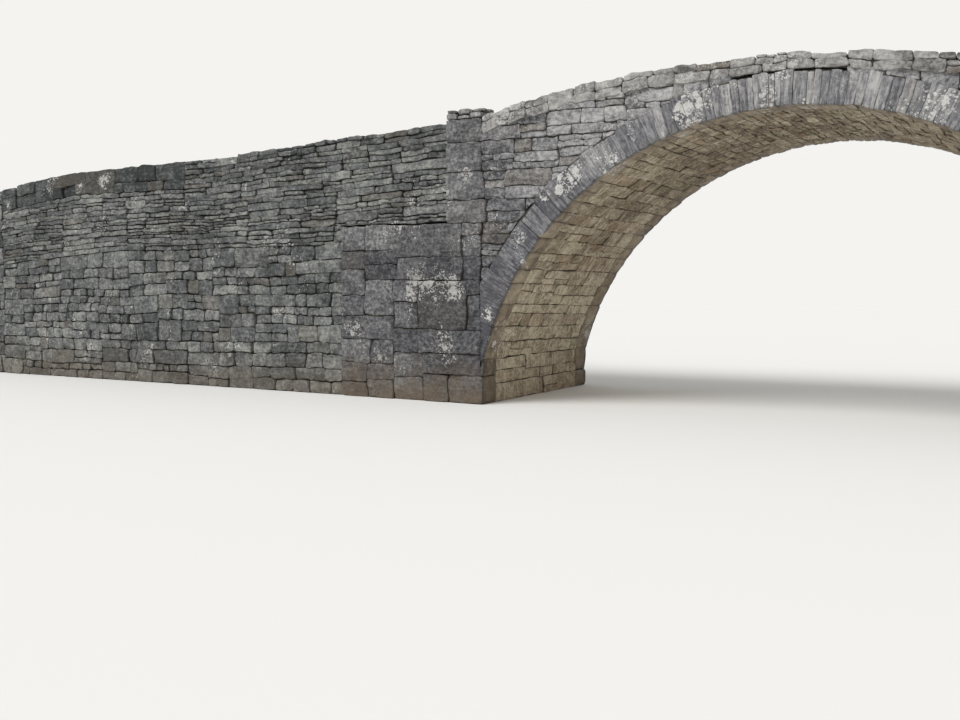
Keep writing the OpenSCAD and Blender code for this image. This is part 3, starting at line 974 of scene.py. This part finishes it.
# Short names for nodes with settings: Blender's own name of the node, and the settings
nodeKinds = {
    "stone": ("Attribute", {"attribute_name": "stone"}),
    "grain": ("Attribute", {"attribute_name": "grain"}),
    "chips": ("TexVoronoi", {"distance": "CHEBYCHEV"}),
    "plus": ("Math", {"operation": "ADD"}),
    "minus": ("Math", {"operation": "SUBTRACT"}),
    "times": ("Math", {"operation": "MULTIPLY"}),
    "most": ("Math", {"operation": "MAXIMUM"}),
    "stretch": ("VectorMath", {"operation": "MULTIPLY"}),
    "away": ("VectorMath", {"operation": "DISTANCE"}),
    "ease": ("MapRange", {"interpolation_type": "SMOOTHSTEP"}),
    "mix": ("Mix", {"data_type": "RGBA"}),
}


def adder(tree):
    # Makes the function that adds a node to a tree and fills its inputs, in order or by name.
    # An input is a value, a hex colour, a socket or another node.
    def add(kind, *inputs, **named):
        word, settings = nodeKinds.get(kind, (kind, {}))
        made = tree.nodes.new("ShaderNode" + word)
        for key, value in settings.items():
            setattr(made, key, value)
        sockets = [socket for socket in made.inputs if socket.enabled]
        pairs = [*zip(sockets, inputs), *((made.inputs[key], value) for key, value in named.items())]
        for socket, value in pairs:
            if isinstance(value, bpy.types.Node):
                value = next(output for output in value.outputs if output.enabled)
            if isinstance(value, bpy.types.NodeSocket):
                tree.links.new(value, socket)
            else:
                socket.default_value = linear(value) if isinstance(value, str) else value
        return made

    return add


def weighed(add, pairs):
    # The sum of values, each times its share
    total = 0.0
    for value, share in pairs:
        total = add("plus", total, add("times", value, share))
    return total


def blank(name):
    # A material without nodes, and the function that adds them
    material = bpy.data.materials.new(name)
    material.use_nodes = True
    material.node_tree.nodes.clear()
    return material, adder(material.node_tree)


def surface(add, colour, roughness, gloss, relief, strength, distance):
    # Ends a material: distance is the height in metres that a relief of one stands for
    bump = add("Bump", Strength=strength, Distance=distance, Height=relief)
    sockets = {"Base Color": colour, "Roughness": roughness, "Specular IOR Level": gloss, "Normal": bump}
    add("OutputMaterial", add("BsdfPrincipled", **sockets))


# Noises in the stone: the size of the biggest spots, the detail and the roughness
noises = {
    "weather": (1.5, 3, 0.6), "blotch": (0.2, 8, 0.68), "crumb": (0.055, 7, 0.78), "beds": (0.22, 5, 0.7),
    "streaks": (0.05, 5, 0.7), "stain": (0.45, 7, 0.7), "patches": (0.55, 4, 0.6), "damp": (0.35, 4, 0.65),
}
contrasts = {"blotch": (0.38, 0.62), "crumb": (0.38, 0.62), "beds": (0.38, 0.62), "weather": (0.35, 0.65)}
# Rounds of lichen: how many to a metre, how much sooner they grow, and how far
lichenRounds = ((5.5, 0.0, 0.46), (15.0, -0.05, 0.36), (34.0, -0.05, 0.4))


def slate(name, look):
    material, add = blank(name)
    place = add("TexCoord").outputs["Object"]
    up = add("SeparateXYZ", add("NewGeometry").outputs["Normal"]).outputs[2]
    height = add("SeparateXYZ", place).outputs[2]
    info = add("stone")
    tone, hue, under = add("SeparateColor", info).outputs
    grain = add("grain").outputs["Vector"]
    warp = add("TexNoise", place, 22.0, 3.0).outputs["Color"]
    bent = add("mix", 0.04, place, warp)
    over = {"blotch": grain, "crumb": grain, "stain": bent, "beds": add("stretch", grain, look["bedding"]),
            "streaks": add("stretch", grain, look["runs"])}
    spots = {}
    for key, (size, detail, roughness) in noises.items():
        spots[key] = add("TexNoise", over.get(key, place), 1 / size, detail, roughness)
    blotch, crumb, beds, damp = (spots[key] for key in ("blotch", "crumb", "beds", "damp"))
    # Split slate: blotched and crumbly, with faint lines of cleavage, each stone of its own tone
    layers = [(tone, look["toneShare"])]
    for key, limits in contrasts.items():
        layers.append((add("ease", spots[key], *limits), look[key + "Share"]))
    ramp = add("ValToRGB", weighed(add, layers))
    ramp.color_ramp.elements.new(0.5)
    for stop, at, tint in zip(ramp.color_ramp.elements, (0.18, 0.5, 0.86), ("dark", "mid", "pale")):
        stop.position = at
        stop.color = linear(look[tint])
    warm = add("ease", hue, 0.8, 1.0, 0.0, look["warmShare"])
    # The sides that look down into the arch are bare, and as buff as the soffit
    worn = add("plus", add("times", hue, 0.45), add("ease", blotch, 0.35, 0.65, 0, 0.6))
    bare = add("mix", worn, look["underDark"], look["underPale"])
    # Lime and rain streaks run down the face
    washed = add("ease", spots["streaks"], 0.5, 0.66, 0, look["streakShare"])
    washed = add("times", washed, add("ease", tone, -0.2, 0.8, 0.2, 1.0))
    # Black crust of old lichen and algae, broken by the roughness of the stone
    black = add("ease", spots["stain"], 0.5, 0.62)
    black = add("times", black, add("ease", crumb, 0.62, 0.4))
    # Pale lichen: ragged rounds of a hand's breadth in places, and small spots around them.
    # They crowd together where they are seen on the near face.
    patchy = spots["patches"]
    for x, z, radius in look["crusts"]:
        away = add("away", place, (x, -faceY, z))
        patchy = add("plus", patchy, add("ease", away, radius, radius * 0.2, 0, 0.3))
    crusts = None
    for density, start, reach in lichenRounds:
        cells = add("TexVoronoi", bent, density)
        low = look["lichenFrom"] + start
        spread = add("ease", patchy, low, low + 0.16, 0.0, reach)
        crust = add("ease", add("minus", spread, cells), -0.02, 0.04)
        crusts = add("most", crusts, crust) if crusts else crust
    crusts = add("times", crusts, add("ease", crumb, 0.36, 0.5, 0.15, 1.0))
    crusts = add("times", crusts, look["lichenShare"])
    # A green film of algae in damp patches, and dull growth on what faces up
    wet = add("ease", damp, look["filmFrom"], look["filmFrom"] + 0.12)
    grown = add("times", add("ease", up, 0.55, 0.95), add("ease", damp, 0.42, 0.6, 0.1, 0.75))
    # Soil splashed up near the ground, and each stone darkened toward the joint colour at its rims and sides,
    # where they turn into the joints
    splash = add("plus", height, add("times", damp, 0.9))
    splash = add("ease", splash, 0.3, 1.3, look["soilShare"], 0)
    rimDarkening = add("times", add("ease", info.outputs["Alpha"], 0.3, 1.0), look["rimShare"])
    covers = [
        (warm, look["warm"]),
        (under, bare),
        (washed, look["streak"]),
        (add("times", black, look["blackShare"]), look["black"]),
        (crusts, look["lichen"]),
        (add("times", wet, look["filmShare"]), look["film"]),
        (grown, look["topGrowth"]),
        (splash, look["soil"]),
        (rimDarkening, look["joint"]),
    ]
    colour = ramp
    for share, cover in covers:
        colour = add("mix", share, colour, cover)
    # The broken surface: angular chips on soft lumps, crumbs and the edges of the laminations
    chips = add("chips", add("mix", 0.08, grain, warp), look["chips"])
    relief = [(blotch, 1.2), (chips, -0.45), (crumb, 0.38), (beds, look["bedRelief"]), (crusts, 0.08)]
    rough = add("ease", blotch, 0.3, 0.7, 0.8, 0.95)
    surface(add, colour, rough, 0.22, weighed(add, relief), look["bump"], 0.035)
    return material


def rubble(name, dark, pale, earth, chip):
    # Earth and stone chips packed behind the faces, seen only as the dark of the joints
    material, add = blank(name)
    place = add("TexCoord").outputs["Object"]
    chips = add("TexVoronoi", place, 1 / chip)
    grit = add("TexNoise", place, 1 / 0.02, 4, 0.6)
    tone = add("SeparateColor", chips.outputs["Color"])
    colour = add("mix", tone, dark, pale)
    colour = add("mix", add("ease", grit, 0.35, 0.65, 0, 0.6), colour, earth)
    surface(add, colour, 0.95, 0.1, add("minus", grit, chips), 0.8, 0.015)
    return material


plainLook = {
    "bedding": (0.8, 5.0, 1.0), "runs": (1, 0.16, 1), "dark": "#3d3d40", "mid": "#69696b", "pale": "#a3a2a0",
    "toneShare": 0.2, "blotchShare": 0.24, "crumbShare": 0.28, "bedsShare": 0.12, "weatherShare": 0.16,
    "warm": "#786b59", "warmShare": 0.35, "underDark": "#6f6252", "underPale": "#bcae96",
    "streak": "#b4b2ae", "streakShare": 0.12, "black": "#313133", "blackShare": 0.6,
    "lichen": "#c4c2bd", "lichenFrom": 0.56, "lichenShare": 0.85, "crusts": [],
    "film": "#575a42", "filmFrom": 0.66, "filmShare": 0.3, "topGrowth": "#6c6a54",
    "soil": "#675d4f", "soilShare": 0.6, "joint": "#35322f", "rimShare": 0.3,
    "chips": 9.0, "bedRelief": 0.35, "bump": 0.95,
}
# Ring slabs: smooth cleavage faces standing on edge, so their lines run up the slab
ringLook = {
    **plainLook, "bedding": (6.0, 0.7, 1.0), "dark": "#505055", "mid": "#828284", "pale": "#bab8b5",
    "toneShare": 0.28, "blotchShare": 0.18, "crumbShare": 0.16, "bedsShare": 0.26, "weatherShare": 0.12,
    "warmShare": 0.15, "streak": "#cdcac5", "streakShare": 0.5, "blackShare": 0.4, "rimShare": 0.2,
    "lichen": "#d3d1cc", "lichenFrom": 0.53, "bedRelief": 0.6, "bump": 0.75,
    "crusts": [(-2.95, 3.34, 0.28), (-3.07, 3.12, 0.2), (-3.35, 3.04, 0.14), (-1.25, 4.04, 0.27),
               (-0.26, 4.13, 0.18)],
}
# Kerb stones: the palest, washed by rain and crusted with lichen
kerbLook = {
    **plainLook, "dark": "#5f5d5b", "mid": "#999794", "pale": "#c5c2bd", "lichenFrom": 0.5, "warmShare": 0.6,
    "blackShare": 0.45, "streakShare": 0.25, "rimShare": 0.2,
}
# Pier and base: rough split blocks of a dark grey. The beds of the spandrel are paler.
faceLook = {
    **plainLook, "warmShare": 0.12, "soil": "#6c5f4f", "soilShare": 0.85, "lichen": "#bdbbb6",
    "blotchShare": 0.16, "crumbShare": 0.36, "bump": 1.1,
    "crusts": [(-4.83, 1.72, 0.26), (-5.59, 1.74, 0.34), (-5.3, 1.78, 0.2), (-4.97, 0.94, 0.16),
               (-4.64, 3.41, 0.16)],
}
bedLook = {
    **plainLook, "dark": "#4c4c4f", "mid": "#8a8a8b", "pale": "#bfbdbb", "streakShare": 0.2,
    "blotchShare": 0.18, "crumbShare": 0.34, "bump": 1.05,
}
# Wing walls: thin dark weathered slates with open joints
wingLook = {
    **plainLook, "dark": "#373939", "mid": "#656767", "pale": "#9b9c96", "lichenFrom": 0.57, "chips": 12.0,
    "warmShare": 0.25, "toneShare": 0.26, "blotchShare": 0.22, "weatherShare": 0.14,
}
# Soffit: buff slate kept dry, with pale lime streaks down the slabs and a little algae. Its colours are also
# made paler than the stone is, as painted light under the arch.
soffitLook = {
    **plainLook, "dark": "#5e5244", "mid": "#9b8f79", "pale": "#d6cab2", "soil": "#7a614c", "soilShare": 0.35,
    "warm": "#8d7359", "warmShare": 0.5, "lichenShare": 0.15, "streak": "#e0d6c3", "streakShare": 0.75,
    "film": "#6a6b43", "filmFrom": 0.58, "filmShare": 0.5, "black": "#4a3f30", "blackShare": 0.45,
    "joint": "#33291e", "rimShare": 0.45,
}
# Road slabs: foot-worn and flat, with earth trodden into the joints
roadLook = {
    **plainLook, "bedding": (1.0, 1.0, 5.0), "dark": "#6a675f", "mid": "#8d897f", "pale": "#b0aca1",
    "topGrowth": "#7a7360", "bump": 0.5, "joint": "#574d3e", "blackShare": 0.2,
}
materials = {
    "ring": slate("ring_slate_cleaved_on_edge", ringLook),
    "kerb": slate("kerb_slate_rain_washed", kerbLook),
    "face": slate("face_slate_split_blocks", faceLook),
    "bed": slate("spandrel_slate_split_beds", bedLook),
    "wing": slate("wing_slate_thin_weathered", wingLook),
    "soffit": slate("soffit_slate_buff_dry_painted_light", soffitLook),
    "road": slate("road_slate_foot_worn", roadLook),
    "joint": rubble("joint_packing_dark", "#26231f", "#454038", "#332e27", 0.04),
    "pointing": rubble("joint_packing_grey", "#3a3733", "#625e58", "#4a463f", 0.03),
    "fill": rubble("core_rubble_packed", "#4d463b", "#857c6b", "#5c5242", 0.09),
    "earth": rubble("road_earth_trodden", "#5a503f", "#857a66", "#6d6350", 0.03),
}
print("scene: materials made")

# What each kind of piece is made of: its stones, what is between them, and its slot
finishOf = {
    "ring": ("ring", "pointing", "ring_slate"),
    "keystone": ("ring", "pointing", "ring_slate"),
    "kerb": ("kerb", "pointing", "kerb_stone"),
    "quoin_pier": ("face", "joint", "face_slate"),
    "spandrel": ("bed", "pointing", "face_slate"),
    "base_ashlar": ("face", "joint", "face_slate"),
    "wing_wall": ("wing", "joint", "rubble_slate"),
    "end_wall": ("wing", "joint", "rubble_slate"),
    "abutment": ("soffit", "joint", "soffit_slate"),
    "barrel_haunch": ("soffit", "joint", "soffit_slate"),
    "barrel_crown": ("soffit", "joint", "soffit_slate"),
    "roadway": ("road", "earth", "kerb_stone"),
}


def placed(name, data):
    made = bpy.data.objects.new(name, data)
    bpy.context.scene.collection.objects.link(made)
    return made


def join(name, parts):
    starts = np.cumsum([0, *(len(part["points"]) for part in parts)])
    faces = []
    slots = []
    for start, part in zip(starts, parts):
        for group in (part["tris"], part["quads"]):
            faces += (group + start).tolist()
            slots += [part["slot"]] * len(group)
    keys = ("points", "info", "grain")
    points, info, grain = (np.concatenate([part[key] for part in parts]) for key in keys)
    mesh = bpy.data.meshes.new(name + "_stones")
    mesh.from_pydata(points.tolist(), [], faces)
    mesh.polygons.foreach_set("material_index", np.array(slots, np.int32))
    mesh.polygons.foreach_set("use_smooth", np.array(slots) == 0)
    stone = mesh.attributes.new("stone", "FLOAT_COLOR", "POINT")
    stone.data.foreach_set("color", info.astype(np.float32).ravel())
    pattern = mesh.attributes.new("grain", "FLOAT_VECTOR", "POINT")
    pattern.data.foreach_set("vector", grain.astype(np.float32).ravel())
    stones, core, slot = finishOf[next(word for word in finishOf if name.endswith(word))]
    mesh.materials.append(materials[stones])
    mesh.materials.append(materials[core])
    piece = placed(name + "_stones", mesh)
    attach(piece, "root")
    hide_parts(name)
    return len(mesh.polygons)


total = sum(join(name, parts) for name, parts in pieces.items())
for name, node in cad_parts.items():
    if name.endswith("_fill"):
        node.data.materials.clear()
        node.data.materials.append(materials["fill"])
print("scene:", len(pieces), "pieces,", total, "faces")

# Floor, light and camera
stage = {
    "floor": "#e9e8e5", "floorHalf": 90, "backdrop": "#f4f3f0", "skyLight": 0.62,
    "keyStrength": 2.1, "keyAngle": 34.0, "keyFrom": (-0.35, -0.75, 0.95),
}
floorMesh = bpy.data.meshes.new("floor")
half = stage["floorHalf"]
floorMesh.from_pydata([(x, y, 0) for x, y in quad((-half, half, -half, half))], [], [(0, 1, 2, 3)])
floor = placed("floor", floorMesh)
floorMaterial = bpy.data.materials.new("floor_plain_pale")
floorMaterial.use_nodes = True
floorShader = floorMaterial.node_tree.nodes["Principled BSDF"]
floorShader.inputs["Base Color"].default_value = linear(stage["floor"])
floorShader.inputs["Roughness"].default_value = 0.9
floorShader.inputs["Specular IOR Level"].default_value = 0.1
floorMesh.materials.append(floorMaterial)

world = bpy.data.worlds.new("studio")
bpy.context.scene.world = world
world.use_nodes = True
world.node_tree.nodes.clear()
add = adder(world.node_tree)
soft = add("Background", (1, 1, 1, 1), stage["skyLight"])
white = add("Background", stage["backdrop"])
seen = add("LightPath").outputs["Is Camera Ray"]
add("OutputWorld", add("MixShader", seen, soft, white))

keyData = bpy.data.lights.new("key", "SUN")
keyData.energy = stage["keyStrength"]
keyData.angle = math.radians(stage["keyAngle"])
key = placed("key", keyData)
key.rotation_euler = Vector(stage["keyFrom"]).to_track_quat("Z", "Y").to_euler()

# Where the photograph was taken from, found from the curves of the arch
view = {"place": (3.259, -15.327, 1.751), "lens": 39.375, "yaw": 29.64, "pitch": -4.02, "roll": 0.13}
lens = bpy.data.cameras.new("camera")
lens.sensor_width = 36
lens.lens = view["lens"]
lens.clip_end = 400
camera = placed("camera", lens)
turn = Matrix.Rotation(math.radians(view["yaw"]), 4, "Z")
turn = turn @ Matrix.Rotation(math.radians(90 + view["pitch"]), 4, "X")
turn = turn @ Matrix.Rotation(math.radians(view["roll"]), 4, "Z")
camera.matrix_world = Matrix.Translation(view["place"]) @ turn
bpy.context.scene.camera = camera
bpy.context.scene.view_settings.view_transform = "Standard"
